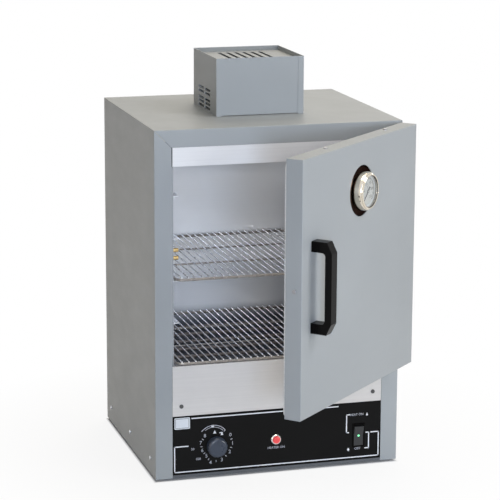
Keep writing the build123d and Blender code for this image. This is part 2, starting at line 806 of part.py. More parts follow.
def make_knob():
    """A round knob with a fluted rim, a bevelled face with an index groove, and a hollow back."""
    knob = turned(
        [(0, 0), (knob_radius, 0), (knob_radius, knob_height - 3.5),
         (knob_radius - 2.2, knob_height - 0.8), (knob_radius - 4, knob_height), (0, knob_height)],
        (knob_x, knob_rear, knob_z), (0, -1, 0),
    )
    for i in range(knob_flute_count):
        angle = 2 * math.pi / knob_flute_count * i
        x = knob_x + (knob_radius + 0.6) * math.cos(angle)
        z = knob_z + (knob_radius + 0.6) * math.sin(angle)
        knob -= rod(1.6, (x, knob_rear - 3, z), (x, knob_front - 1, z))
    knob -= rod(bushing_radius + 4, (knob_x, knob_rear + 1, knob_z), (knob_x, bushing_front - 2, knob_z))
    knob -= rod(spindle_radius, (knob_x, knob_rear, knob_z), (knob_x, knob_front + 4, knob_z))
    groove = block(knob_x - 0.7, knob_x + 0.7, knob_front - 1, knob_front + 0.8,
                   knob_z + knob_radius * 0.45, knob_z + knob_radius)
    return knob - groove


def make_pilot_bezel():
    """A plated ring on the panel with its threaded barrel behind."""
    r = pilot_lens_radius
    ring = turned(
        [(r, 0), (pilot_bezel_radius, 0), (pilot_bezel_radius, 1.2), (r + 0.9, 2.8), (r, 2.8)],
        (pilot_x, panel_front, pilot_z), (0, -1, 0),
    )
    return ring + tube(r + 1.0, r, (pilot_x, panel_front, pilot_z), (pilot_x, 26, pilot_z))


def make_pilot_lens():
    r = pilot_lens_radius
    return turned(
        [(0, -20), (r, -20), (r, 3.2), (r * 0.86, pilot_lens_height - 1.2),
         (r * 0.55, pilot_lens_height), (0, pilot_lens_height)],
        (pilot_x, panel_front, pilot_z), (0, -1, 0),
    )


def switch_body_half():
    return rocker_width / 2 + 1.4, rocker_height / 2 + 2.2


switch_rear = sheet + 14.0
rocker_pivot_y = sheet + 3.0


def make_switch_housing():
    half_w, half_h = switch_body_half()
    bezel = block(switch_x - switch_width / 2, switch_x + switch_width / 2,
                  panel_front - switch_bezel, panel_front,
                  switch_z - switch_height / 2, switch_z + switch_height / 2)
    bezel = chamfer(bezel.faces().sort_by(Axis.Y)[0].edges(), 0.8)
    body = block(switch_x - half_w, switch_x + half_w, panel_front, switch_rear,
                 switch_z - half_h, switch_z + half_h)
    housing = bezel + body
    housing -= block(switch_x - half_w + 1, switch_x + half_w - 1, panel_front - 5,
                     switch_rear - 2, switch_z - half_h + 1, switch_z + half_h - 1)
    for z in (-10, 0, 10):
        housing += block(switch_x - 3, switch_x + 3, switch_rear, switch_rear + 8,
                         switch_z + z - 0.4, switch_z + z + 0.4)
    return housing - rod(1.55, (switch_x - 30, rocker_pivot_y, switch_z),
                         (switch_x + 30, rocker_pivot_y, switch_z))


def make_rocker():
    """A rocker with a shallow V across its face, pressed in at the bottom."""
    half = rocker_height / 2
    face_y = panel_front - switch_bezel
    profile = Polyline(
        (0, face_y + 0.6, 0), (0, face_y - 1.6, half), (0, rocker_pivot_y + 2, half - 1.5),
        (0, rocker_pivot_y + 4, 0), (0, rocker_pivot_y + 2, -half + 1.5), (0, face_y - 1.6, -half),
        close=True,
    )
    rocker = extrude(make_face(profile), amount=rocker_width / 2, both=True)
    rocker = Pos(switch_x, 0, switch_z) * rocker
    half_w, _ = switch_body_half()
    rocker += rod(1.5, (switch_x - half_w + 0.1, rocker_pivot_y, switch_z),
                  (switch_x + half_w - 0.1, rocker_pivot_y, switch_z))
    rocker -= rod(rocker_lens_radius, (switch_x, face_y - 3, switch_z),
                  (switch_x, rocker_pivot_y - 1.7, switch_z))
    return rocker.rotate(rocker_axis, rocker_tilt)


rocker_axis = Axis((switch_x, rocker_pivot_y, switch_z), (1, 0, 0))


def make_rocker_lens():
    face_y = panel_front - switch_bezel
    lens = rod(rocker_lens_radius, (switch_x, face_y + 0.2, switch_z),
               (switch_x, rocker_pivot_y - 1.7, switch_z))
    return lens.rotate(rocker_axis, rocker_tilt)


def make_cord_gland():
    """A flanged bush in the rear panel with a bore for the supply cord."""
    flange = rod(gland_radius + 4, (gland_x, rear, gland_z), (gland_x, rear + 3, gland_z))
    body = rod(gland_radius, (gland_x, rear - 8, gland_z), (gland_x, rear + gland_length - 8, gland_z))
    body = chamfer(body.edges().group_by(Axis.Y)[-1], 2.5)
    bore = rod(gland_bore_radius, (gland_x, rear - 12, gland_z), (gland_x, rear + gland_length, gland_z))
    return flange + body - bore


# ---------------------------------------------------------------- door, drawn shut
edge_screw_seat = (door_free_edge, door_inner - edge_screw_depth, door_middle)
top_screw_seats = [
    (x, door_inner - door_screw_depth, door_top)
    for x in (door_hinge_edge - door_screw_hinge_inset, door_free_edge + door_screw_free_inset)
]
bottom_screw_seats = [(x, y, door_bottom) for x, y, _ in top_screw_seats]
handle_screw_levels = (handle_bottom + handle_leg / 2, handle_top - handle_leg / 2)
handle_middle = handle_left + handle_width / 2
handle_screw_seats = [(handle_middle, door_outer + sheet, z) for z in handle_screw_levels]
thermometer_face = (thermometer_x, door_outer, thermometer_height)
magnet_tops = door_top - sheet - inner_pan_sheet - 1.0


def magnet_places():
    for x in (door_free_edge + magnet_inset, door_hinge_edge - magnet_inset - magnet_length):
        yield x, magnet_tops - magnet_height


def from_face(offset):
    """A point on the thermometer's axis, offset in front of the door's outer face."""
    return (thermometer_x, door_outer - offset, thermometer_height)


def door_screw_holes():
    holes = screw_holes([edge_screw_seat], (1, 0, 0))
    holes += screw_holes(top_screw_seats, (0, 0, -1))
    return holes + screw_holes(bottom_screw_seats, (0, 0, 1))


def make_door_skin():
    skin = block(door_free_edge, door_hinge_edge, door_outer, door_inner, door_bottom, door_top)
    skin = fillet(skin.faces().sort_by(Axis.Y)[0].edges(), bend_radius)
    skin -= block(door_free_edge + sheet, door_hinge_edge - sheet, door_outer + sheet,
                  door_inner + 1, door_bottom + sheet, door_top - sheet)
    skin -= rod(cup_radius, from_face(5), from_face(-5))
    skin = cut_all(skin, door_screw_holes())
    return cut_all(skin, screw_holes(handle_screw_seats, (0, -1, 0)))


def make_inner_pan():
    """A tray inside the skin, with a shallow raised field that enters the chamber's mouth."""
    s = inner_pan_sheet
    x0, x1 = door_free_edge + sheet, door_hinge_edge - sheet
    z0, z1 = door_bottom + sheet, door_top - sheet
    pan = block(x0, x1, door_inner - inner_pan_return, door_inner, z0, z1)
    pan -= block(x0 + s, x1 - s, door_inner - inner_pan_return - 1, door_inner - s, z0 + s, z1 - s)
    field = block(chamber_left + plug_margin, chamber_right - plug_margin, door_inner,
                  door_inner + plug_height, lower_fascia_top + plug_margin,
                  upper_fascia_bottom - plug_margin)
    pan += chamfer(field.faces().sort_by(Axis.Y)[-1].edges(), plug_height * 0.8)
    pan -= rod(stem_radius + 0.2, from_face(0), from_face(-door_thickness - 10))
    return cut_all(pan, door_screw_holes())


def make_door_batt():
    gap = sheet + inner_pan_sheet
    batt = block(door_free_edge + gap, door_hinge_edge - gap, door_outer + sheet,
                 door_inner - inner_pan_sheet, door_bottom + gap, door_top - gap)
    batt -= rod(cup_radius + cup_flange + cup_batt_gap, from_face(0), from_face(-door_thickness))
    room = magnet_clearance
    for x, z in magnet_places():
        batt -= block(x - room, x + magnet_length + room,
                      door_inner - inner_pan_sheet - magnet_depth - room, door_inner,
                      z - room, door_top)
    for x, y, z in handle_screw_seats:
        batt -= rod(screw_head_radius + 0.5, (x, y - 1, z), (x, y + screw_head_height + 0.5, z))
    return cut_all(batt, door_screw_holes())


def make_door_gasket():
    x0, x1 = door_free_edge + gasket_free_inset, door_hinge_edge - gasket_hinge_inset
    z0, z1 = door_bottom + gasket_bottom_inset, door_top - gasket_top_inset
    w = gasket_width
    ring = block(x0, x1, door_inner, -gasket_gap, z0, z1)
    ring = fillet(ring.edges().filter_by(Axis.Y), w)
    return ring - block(x0 + w, x1 - w, door_inner - 1, 1, z0 + w, z1 - w)


def make_magnets():
    y = door_inner - inner_pan_sheet
    bars = [block(x, x + magnet_length, y - magnet_depth, y, z, z + magnet_height)
            for x, z in magnet_places()]
    return Compound(bars)


def make_door_screws():
    screws = [screw(edge_screw_seat, (1, 0, 0))]
    screws += [screw(s, (0, 0, -1)) for s in top_screw_seats]
    screws += [screw(s, (0, 0, 1)) for s in bottom_screw_seats]
    return Compound(screws)


def make_handle():
    """A square-cornered pull with bevelled outer corners and rounded inner ones."""
    y0 = door_outer
    far = y0 - handle_projection
    slope = y0 - handle_projection + handle_chamfer_out
    outline = make_face(Polyline(
        (0, y0, handle_bottom), (0, slope, handle_bottom),
        (0, far, handle_bottom + handle_chamfer_along), (0, far, handle_top - handle_chamfer_along),
        (0, slope, handle_top), (0, y0, handle_top), close=True,
    ))
    pull = extrude(outline, amount=handle_width / 2, both=True)
    front_edges = [e for e in pull.edges() if e.center().Y < y0 - 1 and abs(e.center().X) > 1]
    pull = chamfer(front_edges, 1.2)
    window = block(-handle_width, handle_width, far + handle_grip, y0 + 20,
                   handle_bottom + handle_leg, handle_top - handle_leg)
    window = fillet(window.edges().filter_by(Axis.X).group_by(Axis.Y)[0], handle_inner_radius)
    pull = Pos(handle_middle, 0, 0) * (pull - window)
    for x, y, z in handle_screw_seats:
        pull -= rod(screw_shank_radius, (x, y + 1, z), (x, y - handle_screw_length, z))
    return pull


def make_handle_screws():
    return Compound([screw(s, (0, -1, 0), handle_screw_length) for s in handle_screw_seats])


# ---------------------------------------------------------------- thermometer
def make_cup():
    """A drawn cup behind the door skin, which the thermometer stands in."""
    r, s = cup_radius, cup_sheet
    return turned(
        [(stem_radius + 0.2, cup_depth - s), (r, cup_depth - s), (r, sheet), (r + cup_flange, sheet),
         (r + cup_flange, sheet + s), (r + s, sheet + s), (r + s, cup_depth),
         (stem_radius + 0.2, cup_depth)],
        from_face(0), (0, 1, 0),
    )


case_back = case_front - case_length


def make_case():
    """A drum with a rolled lip that holds the glass, on a boss that stands on the cup's floor."""
    r, s = case_radius, case_sheet
    floor = -(cup_depth - cup_sheet)
    return turned(
        [(0, floor), (boss_radius, floor), (boss_radius, case_back), (r - 1.5, case_back),
         (r, case_back + 1.5), (r, case_front - 1.2), (r - 1.2, case_front),
         (r - case_lip, case_front), (r - case_lip, case_front - s), (r - s, case_front - s),
         (r - s, case_back + s), (0, case_back + s)],
        from_face(0), (0, -1, 0),
    )


glass_front = case_front - case_sheet
glass_back = glass_front - glass_thickness
pointer_front = glass_back - dial_space
pointer_back = pointer_front - pointer_sheet
dial_front = pointer_back - pointer_gap
dial_back = dial_front - dial_sheet


def make_glass():
    return rod(case_radius - case_sheet, from_face(glass_back), from_face(glass_front))


def make_dial():
    dial = rod(case_radius - case_sheet, from_face(dial_back), from_face(dial_front))
    dial += rod(pointer_pin_radius, from_face(case_back + case_sheet), from_face(pointer_front + 0.3))
    return dial


def make_pointer():
    """A needle with a counterweight tail, turning on the dial's pin."""
    needle = Polyline(
        (-pointer_tail, -pointer_width), (-pointer_tail, pointer_width),
        (pointer_length * 0.6, pointer_width / 2), (pointer_length, 0),
        (pointer_length * 0.6, -pointer_width / 2), close=True,
    )
    flat = make_face(needle) + Circle(pointer_hub_radius)
    flat -= Circle(pointer_pin_radius + shaft_bore_clearance)
    flat = Rot(0, 0, pointer_rest_angle) * flat
    front = Plane(origin=from_face(pointer_back), x_dir=(1, 0, 0), z_dir=(0, -1, 0))
    return front * extrude(flat, amount=pointer_sheet)


def make_stem():
    """The probe and the nut that holds the thermometer to the cup."""
    nut_front = -cup_depth
    nut_back = -(door_thickness - inner_pan_sheet) + 0.3
    stem = rod(stem_radius, from_face(-(cup_depth - cup_sheet)),
               from_face(-(door_thickness + stem_reach)))
    tip = stem.edges().filter_by(GeomType.CIRCLE).sort_by(Axis.Y)[-1]
    stem = fillet(tip, stem_radius * 0.7)
    hexagon = Plane(origin=from_face(nut_back), z_dir=(0, -1, 0)) * RegularPolygon(nut_radius, 6)
    return stem + extrude(hexagon, amount=nut_front - nut_back)


# ---------------------------------------------------------------- hinges
knuckle = (hinge_length - 2 * hinge_knuckle_gap) / 3


def make_cabinet_leaves():
    """The fixed leaves lie on the right stile, each with the outer two knuckles."""
    leaves = []
    for middle in hinge_levels:
        low, high = middle - hinge_length / 2, middle + hinge_length / 2
        leaf = block(right - hinge_leaf_width, right, -hinge_leaf, 0, low, high)
        for z0 in (low, high - knuckle):
            barrel = rod(hinge_barrel_radius, (hinge_x, hinge_y, z0), (hinge_x, hinge_y, z0 + knuckle))
            neck = block(right - hinge_leaf, right, hinge_y + hinge_pin_radius, 0, z0, z0 + knuckle)
            leaf += barrel + neck
        leaves.append(leaf - rod(hinge_pin_radius, (hinge_x, hinge_y, low - 1),
                                 (hinge_x, hinge_y, high + 1)))
    return Compound(leaves)


def make_door_leaves():
    """The moving leaves lie on the hinged edge of the door, each with the middle knuckle."""
    leaves = []
    inner = hinge_y - hinge_barrel_radius + hinge_neck
    for middle in hinge_levels:
        low, high = middle - hinge_length / 2, middle + hinge_length / 2
        z0, z1 = middle - knuckle / 2, middle + knuckle / 2
        outer = door_hinge_edge + hinge_leaf
        leaf = block(door_hinge_edge, outer, door_outer + hinge_door_leaf_inset, inner, low, high)
        leaf += rod(hinge_barrel_radius, (hinge_x, hinge_y, z0), (hinge_x, hinge_y, z1))
        leaf += block(door_hinge_edge, hinge_x - hinge_pin_radius / 2, inner - hinge_neck, inner, z0, z1)
        bore = hinge_pin_radius + hinge_pin_clearance
        leaves.append(leaf - rod(bore, (hinge_x, hinge_y, low - 1), (hinge_x, hinge_y, high + 1)))
    return Compound(leaves)


def make_hinge_pins():
    pins = []
    for middle in hinge_levels:
        low, high = middle - hinge_length / 2, middle + hinge_length / 2
        pin = rod(hinge_pin_radius, (hinge_x, hinge_y, low), (hinge_x, hinge_y, high))
        pins.append(pin + rod(hinge_pin_radius * 1.6, (hinge_x, hinge_y, high),
                              (hinge_x, hinge_y, high + 1.5)))
    return Compound(pins)


# ---------------------------------------------------------------- all pieces
def write_all():
    fixed = {
        "cabinet_wrap": make_cabinet_wrap(),
        "base_pan": make_base_pan(),
        "rear_panel": make_rear_panel(),
        "foot_pads": make_feet(),
        "cabinet_screws": make_cabinet_screws(),
        "chamber_liner": make_chamber_liner(),
        "compartment_shield": make_compartment_shield(),
        "upper_fascia": make_upper_fascia(),
        "lower_fascia": make_lower_fascia(),
        "ceiling_baffle": make_ceiling_baffle(),
        "shelf_rack_left": make_rack(mirror=False),
        "shelf_rack_right": make_rack(mirror=True),
        "lower_shelf": make_shelf(lower_shelf_height),
        "upper_shelf": make_shelf(upper_shelf_height),
        "heating_element": make_heating_element(),
        "element_insulators": make_element_insulators(),
        "bulb_studs": make_bulb_studs(),
        "bulb_clip": make_bulb_clip(),
        "sensing_bulb": make_sensing_bulb(),
        "capillary_tube": make_capillary(),
        "fan_housing": make_fan_housing(),
        "fan_grille": make_fan_grille(),
        "motor_bracket": make_motor_bracket(),
        "fan_motor": make_motor(),
        "fan_shaft": make_shaft(),
        "blower_wheel": make_blower_wheel(),
        "cooling_fan": make_cooling_fan(),
        "control_panel": make_control_panel(),
        "thermostat": make_thermostat(),
        "thermostat_spindle": make_spindle(),
        "thermostat_knob": make_knob(),
        "pilot_bezel": make_pilot_bezel(),
        "pilot_lens": make_pilot_lens(),
        "switch_housing": make_switch_housing(),
        "switch_rocker": make_rocker(),
        "rocker_lens": make_rocker_lens(),
        "cord_gland": make_cord_gland(),
        "hinge_leaves_cabinet": make_cabinet_leaves(),
        "hinge_pins": make_hinge_pins(),
    }
    fixed.update(make_batts())
    door = {
        "door_skin": make_door_skin(),
        "door_inner_pan": make_inner_pan(),
        "door_insulation": make_door_batt(),
        "door_gasket": make_door_gasket(),
        "door_magnets": make_magnets(),
        "door_screws": make_door_screws(),
        "door_handle": make_handle(),
        "handle_screws": make_handle_screws(),
        "hinge_leaves_door": make_door_leaves(),
        "thermometer_cup": make_cup(),
        "thermometer_case": make_case(),
        "thermometer_glass": make_glass(),
        "thermometer_dial": make_dial(),
        "thermometer_pointer": make_pointer(),
        "thermometer_stem": make_stem(),
    }
    for name, shape in fixed.items():
        write(name, shape)
    for name, shape in door.items():
        write(name, shape, angle=door_open_angle)


write_all()
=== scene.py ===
"""Looks of a bench laboratory oven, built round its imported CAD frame."""
import json
import math
import bmesh
import bpy
from mathutils import Matrix, Vector


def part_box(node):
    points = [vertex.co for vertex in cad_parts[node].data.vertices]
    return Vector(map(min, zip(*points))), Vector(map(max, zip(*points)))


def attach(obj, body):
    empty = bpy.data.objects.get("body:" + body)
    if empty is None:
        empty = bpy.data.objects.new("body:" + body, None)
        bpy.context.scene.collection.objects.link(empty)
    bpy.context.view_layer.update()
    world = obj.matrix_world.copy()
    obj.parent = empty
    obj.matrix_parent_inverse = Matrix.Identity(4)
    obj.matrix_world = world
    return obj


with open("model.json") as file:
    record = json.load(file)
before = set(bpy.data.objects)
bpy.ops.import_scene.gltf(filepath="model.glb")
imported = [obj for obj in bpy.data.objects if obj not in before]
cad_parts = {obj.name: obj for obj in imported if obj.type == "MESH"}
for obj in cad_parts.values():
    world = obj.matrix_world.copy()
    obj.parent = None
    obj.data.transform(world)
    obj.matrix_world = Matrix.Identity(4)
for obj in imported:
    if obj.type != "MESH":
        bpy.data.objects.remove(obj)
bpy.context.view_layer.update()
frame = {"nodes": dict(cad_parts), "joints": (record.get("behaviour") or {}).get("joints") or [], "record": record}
scene = bpy.context.scene

# ---------------------------------------------------------------- camera
CAMERA_PLACE = Vector((-1.03988, -3.58056, 1.19227))
AZIMUTH, ELEVATION, ROLL = (math.radians(a) for a in (16.2490, 12.6368, 0.25879))
FOCAL_LENGTH, SENSOR_WIDTH, FAR_END = 152.5512, 36.0, 50

ahead = Vector((
    math.sin(AZIMUTH) * math.cos(ELEVATION),
    math.cos(AZIMUTH) * math.cos(ELEVATION),
    -math.sin(ELEVATION),
))
level = Vector((math.cos(AZIMUTH), -math.sin(AZIMUTH), 0))
upward = level.cross(ahead)
side = level * math.cos(ROLL) + upward * math.sin(ROLL)
upward = side.cross(ahead)
lens = bpy.data.cameras.new("camera")
lens.lens, lens.sensor_width, lens.clip_end = FOCAL_LENGTH, SENSOR_WIDTH, FAR_END
camera = bpy.data.objects.new("camera", lens)
heading = Matrix((side, upward, -ahead)).transposed().to_4x4()
camera.matrix_world = Matrix.Translation(CAMERA_PLACE) @ heading
scene.collection.objects.link(camera)
scene.camera = camera
scene.view_settings.view_transform = "Standard"

# ---------------------------------------------------------------- places
# Places on the cabinet are in millimetres from its front left bottom corner: x to the right,
# y to the back, z up. Those on the door are drawn with the door shut, and DOOR opens it.
corner = Vector(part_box("cabinet_wrap")[0])


def cab(x, y, z):
    return corner + Vector((x, y, z)) / 1000


hinge = next(j for j in frame["joints"] if j["name"] == "door_hinge")
OPEN = math.radians(-hinge["range_deg"][0])
PIN = Vector((hinge["pos_m"][0], hinge["pos_m"][1], 0))
DOOR = Matrix.Translation(PIN) @ Matrix.Rotation(OPEN, 4, "Z") @ Matrix.Translation(-PIN)
DOOR_FACE = -32.0                   # outer face of the shut door
THERMO_X, THERMO_Z = 231.25, 525.6  # thermometer's axis
PANEL_Y = 0.2                       # face of the control panel
LINER_FLANGE = 3.0                  # the liner's front flange lies in front of this, and painted shade darkens it
LINER_SHADE_BELOW = 205                    # painted shade darkens the liner below this
LINER_TOP = 546.5                   # upper edge of the flange that shows; above it the flange is painted black as shade
# Below these heights the shelves' frames and crossbars are painted darker as shade.
WIRE_LEVELS = {"lower_shelf": 205.3, "upper_shelf": 352.9}
FRONT_SCREWS = 8                    # screws in front of this hold the frame


# ---------------------------------------------------------------- material kit
class Nodes:
    """A material's node tree, with short calls to add nodes and links."""

    def __init__(self, name):
        self.material = bpy.data.materials.new(name)
        self.material.use_nodes = True
        self.tree = self.material.node_tree
        self.shader = self.tree.nodes["Principled BSDF"]
        self.place = self.add("ShaderNodeTexCoord").outputs["Object"]

    def add(self, kind, **inputs):
        node = self.tree.nodes.new(kind)
        for key, value in inputs.items():
            self.give(value, node.inputs[key.replace("_", " ")])
        return node

    def give(self, value, socket):
        """Links an output to a socket, or sets the socket to a plain value."""
        if isinstance(value, bpy.types.NodeSocket):
            self.tree.links.new(value, socket)
        else:
            socket.default_value = value

    def link(self, output, name):
        self.tree.links.new(output, self.shader.inputs[name])

    def set(self, name, value):
        self.shader.inputs[name].default_value = value

    def stretch(self, scale, turn=(0, 0, 0)):
        return self.add(
            "ShaderNodeMapping", Vector=self.place, Scale=scale, Rotation=turn
        ).outputs["Vector"]

    def noise(self, scale, detail=3.0, rough=0.5, vector=None):
        return self.add(
            "ShaderNodeTexNoise",
            Vector=vector or self.place, Scale=scale, Detail=detail, Roughness=rough,
        ).outputs["Fac"]

    def ramp(self, value, low, high, start=0.3, end=0.7):
        """Maps start to end onto low to high, and clamps the rest."""
        return self.add(
            "ShaderNodeMapRange",
            Value=value, From_Min=start, From_Max=end, To_Min=low, To_Max=high,
        ).outputs["Result"]

    def blend(self, factor, first, second, how="MIX"):
        node = self.tree.nodes.new("ShaderNodeMix")
        node.data_type, node.blend_type = "RGBA", how
        kinds = {"Factor": "VALUE", "A": "RGBA", "B": "RGBA"}
        for name, value in (("Factor", factor), ("A", first), ("B", second)):
            self.give(value, next(
                s for s in node.inputs if s.name == name and s.type == kinds[name]
            ))
        return next(s for s in node.outputs if s.type == "RGBA")

    def bump(self, height, strength, distance, below=None):
        node = self.add("ShaderNodeBump", Height=height, Strength=strength, Distance=distance)
        if below:
            self.tree.links.new(below, node.inputs["Normal"])
        return node.outputs["Normal"]

    def where(self):
        """The X, Y and Z of a point, in metres in the part's frame."""
        return self.add("ShaderNodeSeparateXYZ", Vector=self.place).outputs


def rgba(colour, gain=1.0):
    return (*[min(1.0, c * gain) for c in colour], 1.0)


def srgb(*levels):
    """A colour as the eye reads it, 0 to 255, as Blender's linear one."""
    shares = [c / 255 for c in levels]
    return tuple(c / 12.92 if c <= 0.04045 else ((c + 0.055) / 1.055) ** 2.4 for c in shares)


def enamel(name, colour, rough=0.36, peel=0.10, peel_scale=520, mottle=0.035, gloss=0.5):
    """Stoved paint on steel: fine orange peel, slow changes of tone and sheen, faint scuffs."""
    n = Nodes(name)
    slow = n.ramp(n.noise(4.0, 2.0), 0.0, 1.0)
    tone = n.blend(slow, rgba(colour, 1 - mottle), rgba(colour, 1 + mottle))
    specks = n.ramp(n.noise(900, 2.0, 0.7), 0.0, 1.0, 0.62, 0.80)
    n.link(n.blend(specks, tone, rgba(colour, 0.90)), "Base Color")
    scuffs = n.noise(14.0, 6.0, 0.65, n.stretch((1, 1, 2.5)))
    n.link(n.ramp(scuffs, rough - 0.05, rough + 0.07), "Roughness")
    fine = n.bump(n.noise(peel_scale, 2.0, 0.4), peel, 0.0004)
    n.link(n.bump(n.noise(9.0, 1.0, 0.3), 0.05, 0.004, fine), "Normal")
    n.set("Specular IOR Level", gloss)
    return n.material


def sheet_metal(
    name, colour, rough=0.30, metal=0.9, grain=(3, 260, 260), depth=0.10, spangle=0.0, mottle=0.06
):
    """Bare sheet: fine drawn lines, blotches of sheen, and a crystal pattern on coated steel."""
    n = Nodes(name)
    lines = n.noise(3.0, 4.0, 0.6, n.stretch(grain))
    blotch = n.ramp(n.noise(11.0, 4.0, 0.6), 0.0, 1.0)
    tone = n.blend(blotch, rgba(colour, 1 - mottle), rgba(colour, 1 + mottle * 0.6))
    if spangle:
        cells = n.add("ShaderNodeTexVoronoi", Vector=n.place, Scale=170.0).outputs["Distance"]
        tone = n.blend(n.ramp(cells, 0.0, spangle, 0.0, 0.6), tone, rgba(colour, 0.8))
    n.link(n.blend(n.ramp(lines, 0.0, 0.35), tone, rgba(colour, 0.82)), "Base Color")
    n.set("Metallic", metal)
    n.link(n.ramp(n.noise(16.0, 5.0, 0.6), rough - 0.05, rough + 0.09), "Roughness")
    n.link(n.bump(lines, depth, 0.0003), "Normal")
    return n.material


def plastic(name, colour, rough=0.38, grain=0.12, scale=1400, gloss=0.5):
    """Moulded plastic with a spark-eroded grain and slightly rubbed places."""
    n = Nodes(name)
    patches = n.ramp(n.noise(22.0, 4.0), 0.0, 1.0)
    n.link(n.blend(patches, rgba(colour, 0.9), rgba(colour, 1.1)), "Base Color")
    n.link(n.ramp(n.noise(30.0, 5.0, 0.6), rough - 0.06, rough + 0.08), "Roughness")
    n.link(n.bump(n.noise(scale, 2.0, 0.6), grain, 0.0002), "Normal")
    n.set("Specular IOR Level", gloss)
    return n.material


def fibre(name, colour, scale=320, depth=0.6, weave=None):
    """Felted wool or cloth: a matt mass of short fibres, or a plain weave."""
    n = Nodes(name)
    fine = n.noise(scale, 6.0, 0.75)
    height = fine
    if weave:
        threads = [
            n.add("ShaderNodeTexWave", Vector=n.stretch((1, 1, 1), turn), Scale=weave)
            for turn in ((0.6, 0.5, 0.785), (-0.6, 0.4, -0.785))
        ]
        height = n.blend(0.5, *[thread.outputs["Color"] for thread in threads], "DIFFERENCE")
    tone = n.blend(n.ramp(fine, 0.0, 1.0), rgba(colour, 0.72), rgba(colour, 1.12))
    tone = n.blend(n.ramp(n.noise(18.0, 4.0), 0.0, 0.5), tone, rgba(colour, 0.85))
    n.link(tone, "Base Color")
    n.set("Roughness", 0.92)
    n.set("Sheen Weight", 0.25)
    n.link(n.bump(height, depth, 0.0008), "Normal")
    return n.material


def liner_sheet(name, colour, metal, rough, flange, low, high):
    """The chamber's satin sheet: even and pale, with painted shade below the lower shelf (low),
    dulled by painted shade on its front flange, and painted black as shade on the flange above the opening (high)."""
    # Black for the shade painted on the flange.
    dark = (0.03, 0.03, 0.03, 1)
    n = Nodes(name)
    slow = n.ramp(n.noise(5.0, 2.0), 0.0, 1.0)
    tone = n.blend(slow, rgba(colour, 0.97), rgba(colour, 1.0))
    lines = n.noise(3.0, 3.0, 0.5, n.stretch((1, 120, 120)))
    tone = n.blend(n.ramp(lines, 0.0, 0.12), tone, rgba(colour, 0.85))
    spot = n.where()
    # Painted shade: the sheet turns dark blue-black below the lower shelf, where shade falls.
    under_shelf_shade = n.ramp(spot["Z"], 0.88, 0.0, low - 0.02, low + 0.012)
    tone = n.blend(under_shelf_shade, tone, (0.10, 0.115, 0.145, 1))
    # Painted shade on the front flange: dull grey, and black above the opening's top (high), as the shaded gap
    # beside the fascia.
    above = n.ramp(spot["Z"], 0.0, 1.0, high, high + 0.001)
    edge = n.blend(under_shelf_shade, n.blend(above, (0.34, 0.36, 0.38, 1), dark), dark)
    on_flange = n.ramp(spot["Y"], 1.0, 0.0, flange, flange + 0.0008)
    n.link(n.blend(on_flange, tone, edge), "Base Color")
    n.set("Metallic", metal)
    n.set("Roughness", rough)
    n.link(n.bump(lines, 0.03, 0.0003), "Normal")
    return n.material


def shelf_metal(name, start):
    """Bright plated wires, which begin at the height start, over a frame and crossbars painted darker and browner
    as shade.
    """
    n = Nodes(name)
    wear = n.ramp(n.noise(30.0, 4.0, 0.6), 0.0, 1.0)
    bright = n.blend(wear, (0.97, 0.97, 0.98, 1), (0.84, 0.84, 0.85, 1))
    # Painted shade: the frame and crossbars below the wires are darker and browner.
    shade_under_wires = n.blend(wear, (0.38, 0.35, 0.32, 1), (0.27, 0.245, 0.22, 1))
    on_wires = n.ramp(n.where()["Z"], 0.0, 1.0, start - 0.0003, start + 0.0002)
    n.link(n.blend(on_wires, shade_under_wires, bright), "Base Color")
    n.set("Metallic", 0.5)
    n.link(n.ramp(wear, 0.20, 0.32), "Roughness")
    n.link(n.bump(n.noise(900.0, 2.0), 0.05, 0.0002), "Normal")
    return n.material


def screw_metal(name, front):
    """Zinc-plated screws, dark where they hold the frame at the front."""
    n = Nodes(name)
    wear = n.ramp(n.noise(400.0, 3.0), 0.0, 0.4)
    pale = n.blend(wear, (0.56, 0.57, 0.58, 1), (0.36, 0.36, 0.37, 1))
    at_front = n.ramp(n.where()["Y"], 1.0, 0.0, front, front + 0.001)
    n.link(n.blend(at_front, pale, (0.09, 0.09, 0.09, 1)), "Base Color")
    n.set("Metallic", 0.7)
    n.link(n.ramp(wear, 0.28, 0.4, 0.0, 0.4), "Roughness")
    return n.material


def lamp(name, colour, glow, strength):
    """A coloured lens with moulded facets, lit from within."""
    n = Nodes(name)
    facets = n.add("ShaderNodeTexVoronoi", Vector=n.place, Scale=900.0).outputs["Distance"]
    cloud = n.ramp(n.noise(120.0, 3.0), 0.0, 1.0)
    n.link(n.blend(cloud, rgba(colour, 0.75), rgba(colour, 1.1)), "Base Color")
    n.set("Roughness", 0.16)
    n.set("Transmission Weight", 0.15)
    n.set("Emission Color", rgba(glow))
    n.set("Emission Strength", strength)
    n.link(n.bump(facets, 0.25, 0.0006), "Normal")
    return n.material


def clear_glass(name):
    """Window glass with a trace of haze."""
    n = Nodes(name)
    n.set("Base Color", (0.96, 0.98, 0.98, 1))
    n.set("Transmission Weight", 1.0)
    n.set("IOR", 1.47)
    n.link(n.ramp(n.noise(60.0, 4.0), 0.0, 0.035), "Roughness")
    n.link(n.bump(n.noise(20.0, 1.0), 0.02, 0.001), "Normal")
    return n.material


# ---------------------------------------------------------------- materials
# How far the noise of a sheet is squeezed along x, y and z, which makes its drawn lines.
ROLLED, BRUSHED, EVEN = (2, 240, 240), (2, 160, 160), (60, 60, 60)

